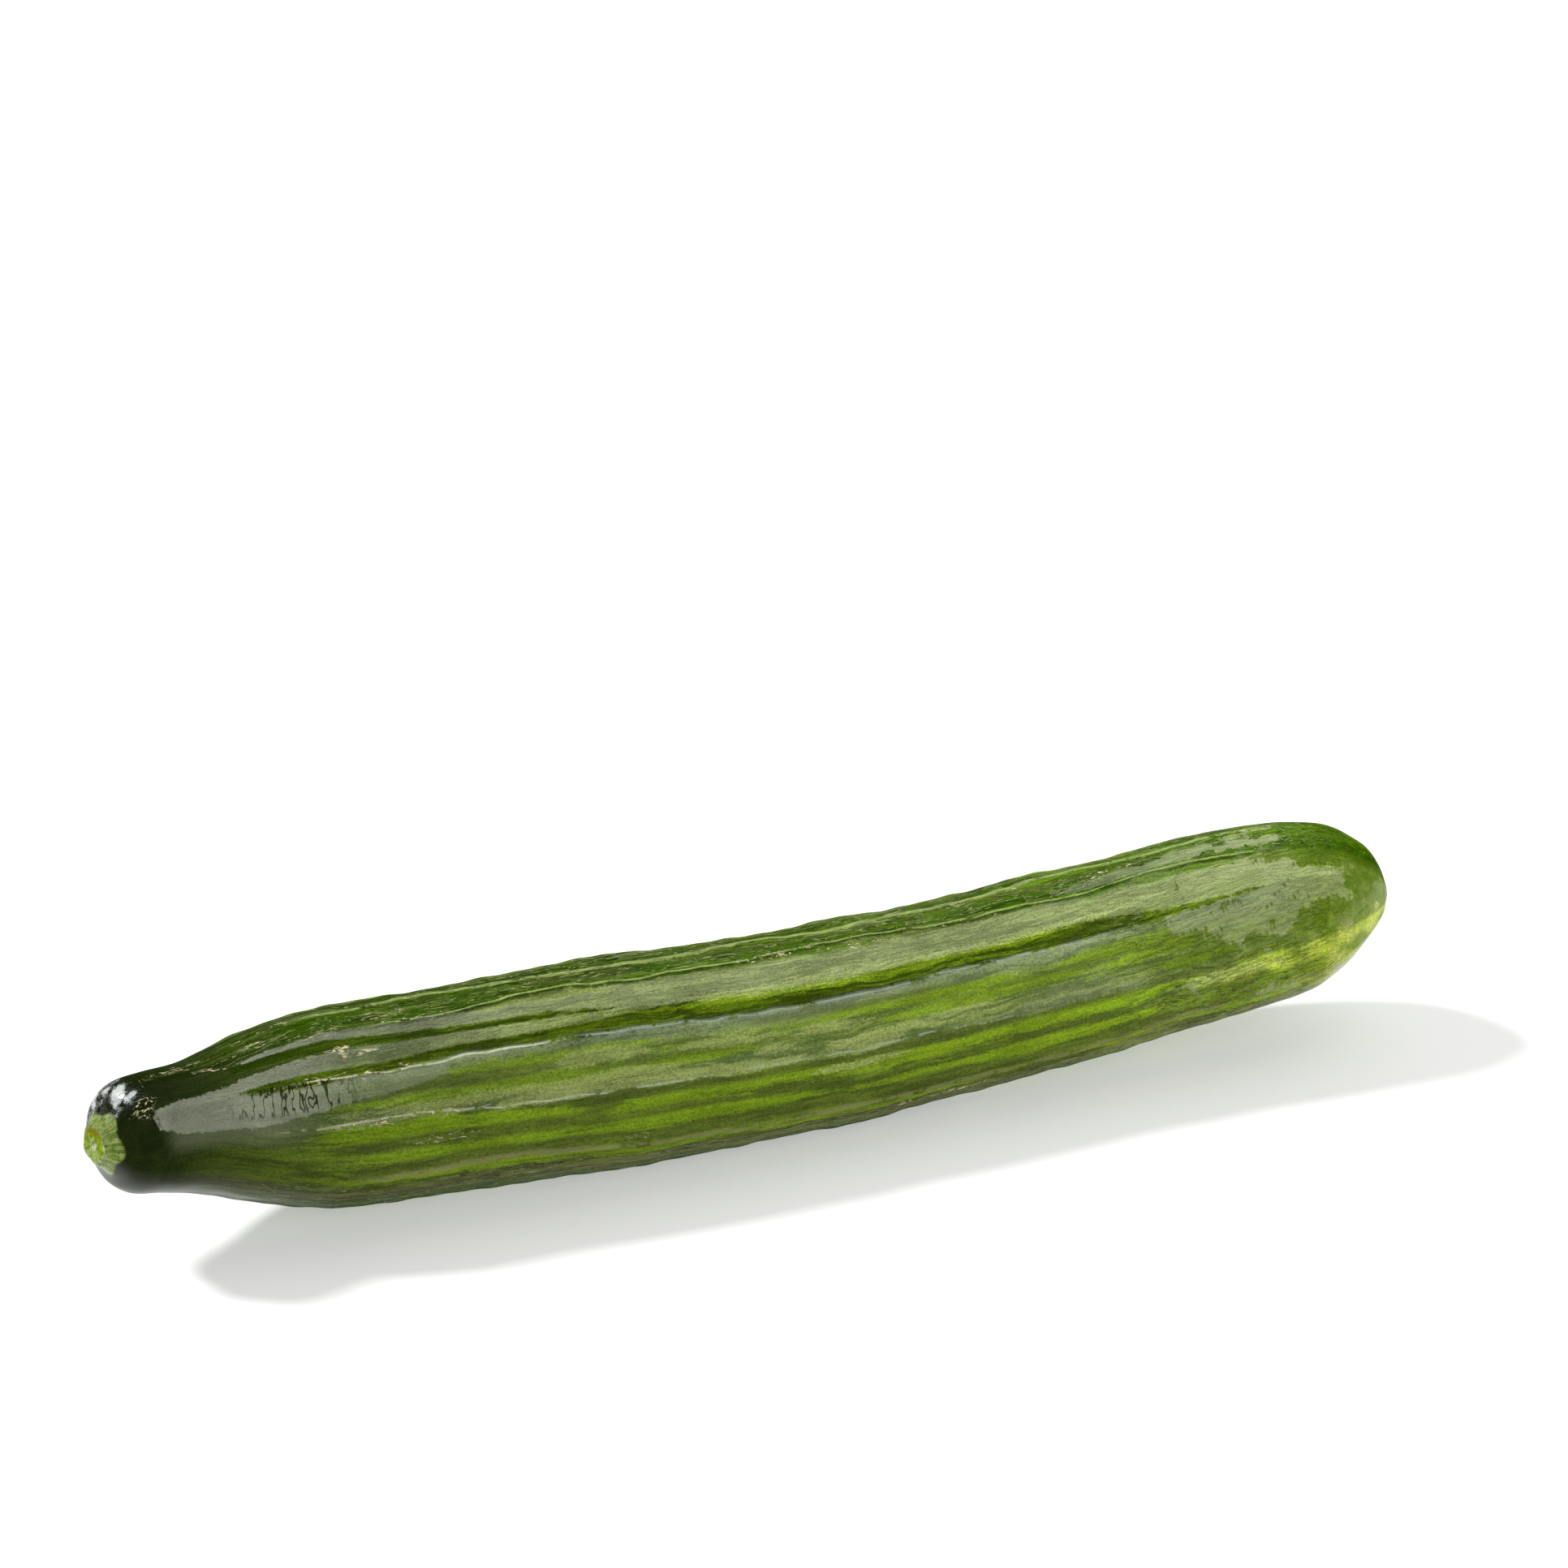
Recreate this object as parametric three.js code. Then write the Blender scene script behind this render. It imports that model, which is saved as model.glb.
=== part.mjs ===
import * as THREE from "three";

// A whole cucumber with its cut stalk, lying on its side. Millimetres and degrees.
// It grows along +X, from the cut of the stalk to the blossom end, and +Z is up.

// Driving dimensions
// The axis: distance from the foot of the stalk, place across, height. Both ends stand free.
const AXIS = [
  [-1.2, -3.4, 30.2],
  [13.7, 1.0, 28.2],
  [32.5, 5.1, 25.0],
  [64, 4.7, 22.6],
  [116, 2.6, 21.7],
  [171, 1.1, 20.7],
  [225, 1.8, 22.0],
  [275, 0.9, 26.4],
  [301.5, -1.9, 29.2],
  [321.6, -8.6, 31.0],
];
// The outline that turns round the axis: distance, radius, steps of the mesh to the next point.
const OUTLINE = [
  [-1.1, 0, 1],
  [-1.15, 2.4, 1],
  [-1.2, 4.0, 1],
  [-0.8, 4.5, 1],
  [0.5, 5.4, 1],
  [1.9, 6.9, 1],
  [2.7, 8.4, 1],
  [3.9, 10.8, 1],
  [7.0, 12.7, 2],
  [13.5, 13.5, 2],
  [23, 14.4, 3],
  [36.5, 18.6, 4],
  [52, 22.2, 3],
  [67, 22.7, 4],
  [85.5, 23.2, 6],
  [116, 24.3, 7],
  [157, 23.7, 6],
  [197, 23.3, 7],
  [244, 22.5, 5],
  [276, 22.3, 3],
  [292, 21.6, 2],
  [303, 19.8, 2],
  [310.8, 16.4, 2],
  [316, 11.4, 1],
  [319.8, 5.7, 1],
  [321.6, 0, 0],
];
// Where each lengthwise crest lies round the fruit at these distances. 0 looks at -Y and 90 up.
const CREST_AT = [25, 60, 95, 130, 165, 200, 240, 296];
const CRESTS = [
  { turn: [-19, -19, -18, -24, -26, -27, -27, -25], rise: 0.1, sway: 0.5 },
  { turn: [13, 18, 15, 14, 12.5, 13, 8, 4], rise: 0, sway: 0.4 },
  { turn: [44, 44, 46, 43, 42.5, 43.5, 43, 45], rise: 0.3, sway: 0.3 },
  { turn: [78, 76, 77, 77, 80, 78, 76, 73], rise: 0.25, sway: 0.9 },
  { turn: [102, 100, 99, 94, 98, 99, 100, 103], rise: -0.1, sway: 1.6 },
  { turn: [124, 120, 119, 119, 120, 121, 122, 125], rise: 0.2, sway: 1 },
  { turn: [150, 148, 148, 149, 150, 151, 151, 153], rise: 0, sway: 1 },
  { turn: [184, 182, 181, 180, 180, 182, 183, 186], rise: 0.15, sway: 1 },
  { turn: [219, 217, 216, 215, 215, 216, 217, 220], rise: 0.1, sway: 1 },
  { turn: [252, 251, 250, 250, 250, 250, 250, 253], rise: 0, sway: 0.8 },
  { turn: [294, 291, 290, 290, 290, 290, 290, 293], rise: 0, sway: 0.8 },
];
const CREST_STANDS = 0.05;
const CREST_SOFTNESS = 0.36;
const CREST_WANDER = 1.5;
const CREST_WAVE = 0.14;
const BAND_DEPTH = 0.42;
// The thin rib along the top of each crest.
const RIB_HEIGHT = 0.28;
const RIB_HALF_WIDTH = 0.8;
// Where between two crests the mesh has its lines: close together beside a crest.
const BAND_LINES = [0, 0.06, 0.2, 0.4, 0.6, 0.8, 0.94];
// One more crest, which fades out: where it lies, its height, half width and its length.
const SHORT_CREST = { turn: 59, rise: 0.55, wide: 5, from: 23, to: 140 };
// Low swellings: distance, turn, height, half length and half width round the fruit.
const SWELLINGS = [
  [23, -78, 0.9, 8, 50],
  [183, 112, 0.4, 9, 14],
  [232, 110, 0.9, 10, 15],
  [252, -64, 0.5, 9, 14],
  [100, 24, 0.5, 14, 16],
  [147, -8, 0.5, 13, 14],
  [207, 60, -0.4, 15, 12],
  [268, 24, 0.5, 15, 16],
  [125, 200, 0.6, 14, 18],
  [214, 170, 0.6, 14, 18],
  [313, 105, 1.2, 9, 45],
  [318.5, 80, 2.6, 3.5, 50],
  [315, -65, -1.2, 9, 45],
];
const STALK_ANGLES = 5;
const STALK_ANGLE_DEPTH = 0.06;
// How much of the underside is pressed flat by the fruit's own weight.
const REST_TRIM = 0.7;

const rad = THREE.MathUtils.degToRad;
const ease = (x, low, high) => THREE.MathUtils.smoothstep(x, low, high);

// A smooth curve through the points of one column, and its slope.
function through(knots, values, x) {
  const last = knots.length - 1;
  let i = 0;
  while (i < last - 1 && x > knots[i + 1]) i += 1;
  const slope = (j) => {
    const a = Math.max(j - 1, 0);
    const b = Math.min(j + 1, last);
    return (values[b] - values[a]) / (knots[b] - knots[a]);
  };
  const h = knots[i + 1] - knots[i];
  const t = (x - knots[i]) / h;
  const m0 = slope(i) * h;
  const m1 = slope(i + 1) * h;
  const rise = values[i + 1] - values[i];
  const bend = m0 + m1 - 2 * rise;
  const start = 3 * rise - 2 * m0 - m1;
  return {
    value: values[i] + t * (m0 + t * (start + t * bend)),
    slope: (m0 + t * (2 * start + 3 * t * bend)) / h,
  };
}

const column = (rows, k) => rows.map((row) => row[k]);

// The centre of a ring and its two directions: towards -Y and up.
function axisAt(s) {
  const y = through(column(AXIS, 0), column(AXIS, 1), s);
  const z = through(column(AXIS, 0), column(AXIS, 2), s);
  const along = new THREE.Vector3(1, y.slope, z.slope).normalize();
  const side = along.clone().cross(new THREE.Vector3(0, 0, 1)).normalize();
  const lift = side.clone().cross(along);
  return { centre: new THREE.Vector3(s, y.value, z.value), side, lift };
}

// The turn of crest k at a distance, in degrees, with a slow wander of its own.
function crestTurn(k, s) {
  const n = CRESTS.length;
  const lap = Math.floor(k / n) * 360;
  const j = k % n;
  const wander = Math.sin(s / 13 + 2.1 * j) + 0.7 * Math.sin(s / 6.5 + 3.7 * j);
  const turn = through(CREST_AT, CRESTS[j].turn, THREE.MathUtils.clamp(s, 0, 312)).value;
  return turn + CREST_WANDER * CRESTS[j].sway * wander * ease(s, 20, 60) + lap;
}

// How far crest k stands above the others at a distance.
function crestRise(k, s) {
  const j = k % CRESTS.length;
  const wave = Math.sin(s / 8.5 + 2.4 * j) + Math.sin(s / 4.7 + 1.3 * j);
  return CRESTS[j].rise + CREST_WAVE * wave;
}

// The radius in the band after crest k, at a share of its width.
function skinRadius(s, round, k, share, turn) {
  const grown = ease(s, 8, 46) * (1 - 0.5 * ease(s, 225, 300));
  const width = crestTurn(k + 1, s) - crestTurn(k, s);
  const soft = CREST_SOFTNESS;
  const arch = 4 * share * (1 - share);
  const sink = (Math.hypot(arch, soft) - soft) / (Math.hypot(1, soft) - soft);
  const chord = round * (1 - Math.cos(rad(width / 2)));
  const blend = ease(share, 0, 1);
  const stands = CREST_STANDS + crestRise(k, s) * (1 - blend) + crestRise(k + 1, s) * blend;
  const thin = Math.min(1, round / 12);
  const gap = rad(Math.min(share, 1 - share) * width) * round;
  const rib = RIB_HEIGHT * Math.exp(-((gap / RIB_HALF_WIDTH) ** 2));
  let r = round + grown * (thin * (stands + rib) - BAND_DEPTH * chord * sink);
  const off = (((turn - SHORT_CREST.turn) % 360) + 540) % 360 - 180;
  const along = ease(s, SHORT_CREST.from, SHORT_CREST.from + 25) * (1 - ease(s, 84, SHORT_CREST.to));
  r += SHORT_CREST.rise * along * Math.exp(-((off / SHORT_CREST.wide) ** 2));
  for (const [at, where, height, long, wide] of SWELLINGS) {
    const round360 = (((turn - where) % 360) + 540) % 360 - 180;
    r += height * Math.exp(-(((s - at) / long) ** 2) - (round360 / wide) ** 2);
  }
  const stalk = s < 6 ? ease(round, 3, 4.4) * (1 - ease(round, 6.2, 8.2)) : 0;
  return r + round * stalk * STALK_ANGLE_DEPTH * Math.cos(rad(STALK_ANGLES * turn));
}

// The outline as a smooth curve, stepped into the places of the mesh's rings.
function outlineRings() {
  const knots = [0];
  for (let i = 1; i < OUTLINE.length; i += 1) {
    const ds = OUTLINE[i][0] - OUTLINE[i - 1][0];
    const dr = OUTLINE[i][1] - OUTLINE[i - 1][1];
    knots.push(knots[i - 1] + Math.hypot(ds, dr));
  }
  const rings = [];
  OUTLINE.forEach(([s, r, steps], i) => {
    rings.push([s, r]);
    for (let j = 1; j < steps; j += 1) {
      const at = knots[i] + ((knots[i + 1] - knots[i]) * j) / steps;
      rings.push([
        through(knots, column(OUTLINE, 0), at).value,
        through(knots, column(OUTLINE, 1), at).value,
      ]);
    }
  });
  return rings;
}

// The fruit and its stalk as one closed skin: a pole, the rings between, and the other pole.
function cucumberGeometry() {
  const places = [];
  const rings = outlineRings();
  for (const [s, round] of rings) {
    const { centre, side, lift } = axisAt(s);
    if (round === 0) {
      places.push(centre);
      continue;
    }
    for (let k = 0; k < CRESTS.length; k += 1) {
      const here = crestTurn(k, s);
      const next = crestTurn(k + 1, s);
      for (const share of BAND_LINES) {
        const turn = here + share * (next - here);
        const r = skinRadius(s, round, k, share, turn);
        const point = centre.clone();
        point.addScaledVector(side, r * Math.cos(rad(turn)));
        point.addScaledVector(lift, r * Math.sin(rad(turn)));
        places.push(point);
      }
    }
  }
  const around = CRESTS.length * BAND_LINES.length;
  const faces = [];
  const end = places.length - 1;
  const corner = (ring, j) => 1 + (ring - 1) * around + (j % around);
  for (let j = 0; j < around; j += 1) {
    faces.push(0, corner(1, j), corner(1, j + 1));
    for (let ring = 1; ring < rings.length - 2; ring += 1) {
      const [a, b] = [corner(ring, j), corner(ring, j + 1)];
      const [c, d] = [corner(ring + 1, j), corner(ring + 1, j + 1)];
      faces.push(a, c, d, a, d, b);
    }
    faces.push(corner(rings.length - 2, j + 1), corner(rings.length - 2, j), end);
  }
  const geometry = new THREE.BufferGeometry().setFromPoints(places);
  geometry.setIndex(faces);
  return geometry;
}

// Puts the middle of the box over the origin and presses the underside flat on the table.
function laidDown(geometry) {
  geometry.computeBoundingBox();
  const box = geometry.boundingBox;
  const middle = box.getCenter(new THREE.Vector3());
  geometry.translate(-middle.x, -middle.y, -box.min.z - REST_TRIM);
  const place = geometry.getAttribute("position");
  for (let i = 0; i < place.count; i += 1) {
    place.setZ(i, Math.max(place.getZ(i), 0));
  }
  geometry.computeVertexNormals();
  return geometry;
}

const skin = new THREE.MeshStandardMaterial({ color: 0x4f7a24, roughness: 0.4 });
const cucumber = new THREE.Mesh(laidDown(cucumberGeometry()), skin);
cucumber.name = "cucumber";

const group = new THREE.Group();
group.add(cucumber);

export default group;
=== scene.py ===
import math

import bpy
import numpy as np
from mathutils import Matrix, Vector


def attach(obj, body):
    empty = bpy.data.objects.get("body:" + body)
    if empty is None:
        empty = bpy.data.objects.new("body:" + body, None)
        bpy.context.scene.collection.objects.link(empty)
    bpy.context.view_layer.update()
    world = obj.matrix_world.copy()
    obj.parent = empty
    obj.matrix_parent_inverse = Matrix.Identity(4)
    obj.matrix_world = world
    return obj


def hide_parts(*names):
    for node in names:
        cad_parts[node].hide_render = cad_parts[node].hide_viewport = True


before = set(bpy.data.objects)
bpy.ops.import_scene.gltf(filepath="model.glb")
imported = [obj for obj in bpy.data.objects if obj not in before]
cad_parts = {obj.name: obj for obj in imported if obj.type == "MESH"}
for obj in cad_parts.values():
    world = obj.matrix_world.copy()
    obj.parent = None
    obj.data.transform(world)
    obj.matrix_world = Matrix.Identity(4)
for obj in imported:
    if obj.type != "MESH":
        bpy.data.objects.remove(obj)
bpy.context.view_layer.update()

# The camera. It stands in front of the fruit, a little towards the stalk, and looks down at
# it from just over a metre away through a long lens.
CAMERA_PLACE = (-0.40645, -0.93784, 0.54736)
CAMERA_AHEAD = (0.36795, 0.83425, -0.41067)
CAMERA_LENS_MM = 113.1

bpy.ops.object.camera_add(location=CAMERA_PLACE)
camera = bpy.context.object
camera.name = "camera"
camera.rotation_euler = Vector(CAMERA_AHEAD).to_track_quat("-Z", "Y").to_euler()
camera.data.sensor_width = 36.0
camera.data.lens = CAMERA_LENS_MM
bpy.context.scene.camera = camera

# The fruit. One grown piece: a long bent body with soft lengthwise crests, a narrow neck that
# ends in the cut stub of its stalk, and a blunt nose where the flower sat. It lies on the
# outer side of its bend, which its own weight presses flat. Millimetres and degrees.
AXIS = np.array([
    (-1.2, -3.4, 30.2), (13.7, 1.0, 28.2), (32.5, 5.1, 25.0), (64, 4.7, 22.6), (116, 2.6, 21.7),
    (171, 1.1, 20.7), (225, 1.8, 22.0), (275, 0.9, 26.4), (301.5, -1.9, 29.2), (321.6, -8.6, 31.0),
])
OUTLINE = np.array([
    (-1.1, 0, 1), (-1.15, 2.4, 1), (-1.2, 4.0, 1), (-0.8, 4.5, 1), (0.5, 5.4, 1), (1.9, 6.9, 1),
    (2.7, 8.4, 1), (3.9, 10.8, 1), (7.0, 12.7, 2), (13.5, 13.5, 2), (23, 14.4, 3), (36.5, 18.6, 4),
    (52, 22.2, 3), (67, 22.7, 4), (85.5, 23.2, 6), (116, 24.3, 7), (157, 23.7, 6), (197, 23.3, 7),
    (244, 22.5, 5), (276, 22.3, 3), (292, 21.6, 2), (303, 19.8, 2), (310.8, 16.4, 2),
    (316, 11.4, 1), (319.8, 5.7, 1), (321.6, 0, 0),
])
CREST_AT = np.array([25, 60, 95, 130, 165, 200, 240, 296])
CREST_TURN = np.array([
    (-19, -19, -18, -24, -26, -27, -27, -25), (13, 18, 15, 14, 12.5, 13, 8, 4),
    (44, 44, 46, 43, 42.5, 43.5, 43, 45), (78, 76, 77, 77, 80, 78, 76, 73),
    (102, 100, 99, 94, 98, 99, 100, 103), (124, 120, 119, 119, 120, 121, 122, 125),
    (150, 148, 148, 149, 150, 151, 151, 153), (184, 182, 181, 180, 180, 182, 183, 186),
    (219, 217, 216, 215, 215, 216, 217, 220), (252, 251, 250, 250, 250, 250, 250, 253),
    (294, 291, 290, 290, 290, 290, 290, 293),
])
CREST_RISE = np.array([0.1, 0, 0.3, 0.25, -0.1, 0.2, 0, 0.15, 0.1, 0, 0])
CREST_SWAY = np.array([0.5, 0.4, 0.3, 0.9, 1.6, 1, 1, 1, 1, 0.8, 0.8])
CREST_STANDS = 0.05
CREST_SOFTNESS = 0.36
CREST_WANDER = 1.5
CREST_WAVE = 0.14
BAND_DEPTH = 0.42
RIB_HEIGHT = 0.28
RIB_HALF_WIDTH = 0.8
SHORT_CREST = (59, 0.55, 5, 23, 140)
SWELLINGS = [
    (23, -78, 0.9, 8, 50), (183, 112, 0.4, 9, 14), (232, 110, 0.9, 10, 15), (252, -64, 0.5, 9, 14),
    (100, 24, 0.5, 14, 16), (147, -8, 0.5, 13, 14), (207, 60, -0.4, 15, 12), (268, 24, 0.5, 15, 16),
    (125, 200, 0.6, 14, 18), (214, 170, 0.6, 14, 18), (313, 105, 1.2, 9, 45), (318.5, 80, 2.6, 3.5, 50),
    (315, -65, -1.2, 9, 45),
]
STALK_ANGLES = 5
STALK_ANGLE_DEPTH = 0.06
REST_TRIM = 0.7
FIRST_LANE = -3
HOLLOW = (2.3, 1.5, 0.16)
RINGS_PER_STEP = 5
LINES_PER_BAND = 24
FINE_CREST_WIGGLE = 0.4
FINE_CREST_WAVE = 0.07
RIPPLES = [(23, 0.05, 2.1, 31), (37, 0.05, 3.0, 23), (53, 0.035, 3.6, 17), (71, 0.025, 4.5, 13)]


def ease(x, low, high):
    t = np.clip((x - low) / (high - low), 0, 1)
    return t * t * (3 - 2 * t)


def through(knots, values, x):
    i = np.searchsorted(knots[1:-1], x)
    last = len(knots) - 1
    before, after = np.maximum(i - 1, 0), np.minimum(i + 2, last)
    h = knots[i + 1] - knots[i]
    rise = values[i + 1] - values[i]
    m0 = (values[i + 1] - values[before]) / (knots[i + 1] - knots[before]) * h
    m1 = (values[after] - values[i]) / (knots[after] - knots[i]) * h
    t = (x - knots[i]) / h
    bend, start = m0 + m1 - 2 * rise, 3 * rise - 2 * m0 - m1
    return values[i] + t * (m0 + t * (start + t * bend)), (m0 + t * (2 * start + 3 * t * bend)) / h


def crest_turn(k, s):
    j = k % len(CREST_TURN)
    wander = np.sin(s / 13 + 2.1 * j) + 0.7 * np.sin(s / 6.5 + 3.7 * j)
    fine = np.sin(s / 2.6 + 5.1 * j) * np.sin(s / 9 + j) + 0.6 * np.sin(s / 1.7 + 1.9 * j)
    turn = through(CREST_AT, CREST_TURN[j], np.clip(s, 0, 312))[0]
    wander = CREST_WANDER * CREST_SWAY[j] * wander + FINE_CREST_WIGGLE * fine
    return turn + wander * ease(s, 20, 60) + 360 * (k // len(CREST_TURN))


def crest_rise(k, s):
    j = k % len(CREST_RISE)
    wave = CREST_WAVE * (np.sin(s / 8.5 + 2.4 * j) + np.sin(s / 4.7 + 1.3 * j))
    fine = FINE_CREST_WAVE * (np.sin(s / 1.9 + 4.1 * j) + np.sin(s / 1.2 + 0.7 * j))
    return CREST_RISE[j] + wave + fine


def around(turn, where):
    return (turn - where + 180) % 360 - 180


steps = OUTLINE[:-1, 2].astype(int) * RINGS_PER_STEP
knots = np.concatenate([[0], np.cumsum(np.hypot(*np.diff(OUTLINE[:, :2], axis=0).T))])
spans = [np.linspace(a, b, n, False) for a, b, n in zip(knots, knots[1:], steps)]
places = np.concatenate([*spans, knots[-1:]])
along = through(knots, OUTLINE[:, 0], places)[0][:, None]
round_ = through(knots, OUTLINE[:, 1], places)[0][:, None]
round_[[0, -1]] = 0

share = np.linspace(0, 1, LINES_PER_BAND, False)
share = share - 0.6 * np.sin(2 * np.pi * share) / (2 * np.pi)
turn, lane, gap, over, dip, stands = [], [], [], [], [], []
for k in range(FIRST_LANE, FIRST_LANE + len(CREST_TURN)):
    here, after = crest_turn(k, along), crest_turn(k + 1, along)
    width = after - here
    arch = 4 * share * (1 - share)
    soft = CREST_SOFTNESS
    sink = (np.hypot(arch, soft) - soft) / (np.hypot(1, soft) - soft)
    blend = ease(share, 0, 1)
    turn.append(here + share * width)
    lane.append(k + share + 0 * width)
    gap.append(np.radians(np.minimum(share, 1 - share) * width) * round_)
    over.append(np.radians(share * width) * round_)
    dip.append(BAND_DEPTH * round_ * (1 - np.cos(np.radians(width / 2))) * sink)
    stands.append(CREST_STANDS + crest_rise(k, along) * (1 - blend) + crest_rise(k + 1, along) * blend)
bands = (turn, lane, gap, over, dip, stands)
turn, lane, gap, over, dip, stands = (np.concatenate(values, axis=1) for values in bands)
grown = ease(along, 8, 46) * (1 - 0.5 * ease(along, 225, 300))
rib = RIB_HEIGHT * np.exp(-((gap / RIB_HALF_WIDTH) ** 2))
hollow = HOLLOW[2] * np.exp(-(((over - HOLLOW[0]) / HOLLOW[1]) ** 2))
radius = round_ + grown * (np.minimum(1, round_ / 12) * (stands + rib - hollow) - dip)
at, rise, wide, low, high = SHORT_CREST
window = ease(along, low, low + 25) * (1 - ease(along, 84, high))
radius = radius + rise * window * np.exp(-((around(turn, at) / wide) ** 2))
for at, where, height, long, wide in SWELLINGS:
    radius = radius + height * np.exp(-(((along - at) / long) ** 2) - (around(turn, where) / wide) ** 2)
stalk = np.where(along < 6, ease(round_, 3, 4.4) * (1 - ease(round_, 6.2, 8.2)), 0)
radius = radius + round_ * stalk * STALK_ANGLE_DEPTH * np.cos(np.radians(STALK_ANGLES * turn))
skin_part = ease(along, 10, 30) * (1 - ease(along, 310, 321))
for count, height, swing, long in RIPPLES:
    phase = np.radians(count * turn) + swing * np.sin(along / long + count)
    swell = 0.5 + 0.5 * np.sin(along / (0.6 * long) + np.radians(3 * turn) + 2 * count)
    radius = radius + skin_part * height * swell * np.sin(phase)

bend_y, slope_y = through(AXIS[:, 0], AXIS[:, 1], along)
bend_z, slope_z = through(AXIS[:, 0], AXIS[:, 2], along)
ahead = np.stack([np.ones_like(slope_y), slope_y, slope_z], -1)
ahead /= np.linalg.norm(ahead, axis=-1, keepdims=True)
side = np.cross(ahead, (0, 0, 1))
side /= np.linalg.norm(side, axis=-1, keepdims=True)
lift = np.cross(side, ahead)
centre = np.stack([along, bend_y, bend_z], -1)
cos, sin = np.cos(np.radians(turn))[..., None], np.sin(np.radians(turn))[..., None]
place = centre + radius[..., None] * (side * cos + lift * sin)
low, high = place.min((0, 1)), place.max((0, 1))
place -= ((low[0] + high[0]) / 2, (low[1] + high[1]) / 2, low[2] + REST_TRIM)
place[..., 2] = np.maximum(place[..., 2], 0)

bpy.ops.object.select_all(action="DESELECT")
bpy.ops.mesh.primitive_uv_sphere_add(segments=turn.shape[1], ring_count=len(places) - 1, radius=1)
fruit = bpy.context.object
fruit.name = fruit.data.name = "fruit"
ball = np.empty(len(fruit.data.vertices) * 3)
fruit.data.vertices.foreach_get("co", ball)
ball = ball.reshape(-1, 3)
ring = np.rint(np.arccos(np.clip(ball[:, 2], -1, 1)) / np.pi * (len(places) - 1)).astype(int)
line = np.rint(np.arctan2(ball[:, 1], ball[:, 0]) / (2 * np.pi) * turn.shape[1]).astype(int) % turn.shape[1]
fruit.data.vertices.foreach_set("co", (place[ring, line] / 1000).ravel())
bpy.ops.object.shade_smooth()

# The markings of the skin, with bands of painted sheen and painted shade and streaks of painted highlight
# among them, each as the depth of every point inside it in millimetres. Bands have a lower and an upper
# turn at each distance; streaks taper: from, to, turn at both, half width.
GLOSS_AND_PAINTED_SHEEN_BANDS = [
    (
        (8, 14, 25, 33, 42, 60, 80, 100, 118),
        (30, 40, 42, 47, 49.5, 50, 53, 53, 54),
        (47, 51, 55, 58, 60, 61, 60, 58, 55),
    ),
    (
        (8, 14, 25, 35, 45, 55, 66, 78),
        (28, 20, 18, 20, 25, 30, 33, 38),
        (46, 49, 46, 42, 42, 43, 43, 43),
    ),
    (
        (32, 45, 60, 80, 100, 112, 120, 128, 140, 160, 180, 200, 220, 240, 258),
        (71, 69.5, 68, 65, 64, 61, 58, 56, 57, 56, 54.5, 55, 56.5, 57, 62),
        (73, 74.5, 75, 74.5, 73, 71, 72.5, 73, 73.2, 74, 73, 73, 72.5, 73, 70),
    ),
    (
        (242, 252, 262, 272, 282, 292, 299, 306, 312),
        (56, 46, 33, 22, 19, 18, 27, 24, 26),
        (70, 69, 68, 67, 66, 64, 58, 55, 54),
    ),
    ((216, 222, 230, 235, 240, 249), (10, 9, 8.5, 8, 8, 7), (13, 19, 20, 17, 19, 8.5)),
    (
        (236, 246, 258, 268, 280, 290, 298),
        (80, 78, 76.5, 76, 76, 77, 78),
        (82, 85, 88, 92, 93, 88, 80),
    ),
]
SHADES = [
    ((28, 40, 60, 80, 100, 119), (65, 63.5, 62, 60.5, 60, 57.5), (70, 70, 68.5, 65.5, 64, 58.5)),
    (
        (28, 40, 60, 80, 100, 115, 130, 150, 175, 200, 225, 245, 254, 265, 286),
        (46, 41.5, 44, 47, 44.5, 43.5, 43, 43, 42.5, 43.5, 43.5, 43, 43.5, 43.5, 45),
        (47, 49, 49, 52.5, 52.5, 53, 55, 56.5, 54.5, 54.5, 55, 53.5, 50, 47.5, 46),
    ),
]
LIME_STREAKS = [
    (75, 127, 38.5, 37, 1.3), (48, 130, 26.5, 25, 1.7), (120, 152, 25, 25, 1.6), (165, 216, 33, 34, 1.5),
    (180, 240, 26, 27, 1.6), (230, 264, 34, 33, 2.0), (45, 106, 10, 8, 2.1), (100, 162, 3, 4, 1.9),
    (156, 216, 3, 1, 2.0), (205, 264, 2, 1, 2.1), (55, 112, -7, -7, 1.5), (104, 168, -8, -9, 2.1),
    (168, 204, -13, -10, 1.2), (190, 254, -12, -14, 2.2), (50, 122, -23, -22, 1.7), (100, 152, -27, -29, 1.6),
    (150, 216, -31, -31, 1.3), (262, 294, -28, -29, 2.4), (274, 294, 2, 1, 3.0), (240, 266, 24, 26, 1.5),
    (252, 276, 15, 14, 1.6), (128, 230, 53.5, 53, 1.2),
]
DUSK_STREAKS = [
    (48, 114, 2, 1, 1.7), (55, 122, -13.5, -14, 1.9), (118, 168, -17, -19, 2.0), (160, 218, -19, -20, 2.4),
    (104, 146, -2, -2, 1.1), (138, 178, -3, -5, 0.8), (104, 172, 10, 10, 1.3), (160, 218, 9, 9, 1.5),
    (208, 292, 7.5, 6, 0.9), (206, 246, -6, -7, 0.8), (100, 130, 88, 88, 2.4), (140, 206, 90, 90, 1.8),
    (204, 252, 91, 92, 1.6), (244, 284, -8, -10, 0.8), (208, 264, -22, -21, 1.8), (110, 166, 27, 26, 0.4),
    (108, 118, 4, 8, 2.0), (104, 112, -30, -31, 2.0), (210, 250, 30, 30, 0.5), (150, 200, 37.5, 37, 0.6),
    (60, 100, 32, 31, 0.9), (62, 104, 34.5, 34, 0.7),
]
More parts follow.
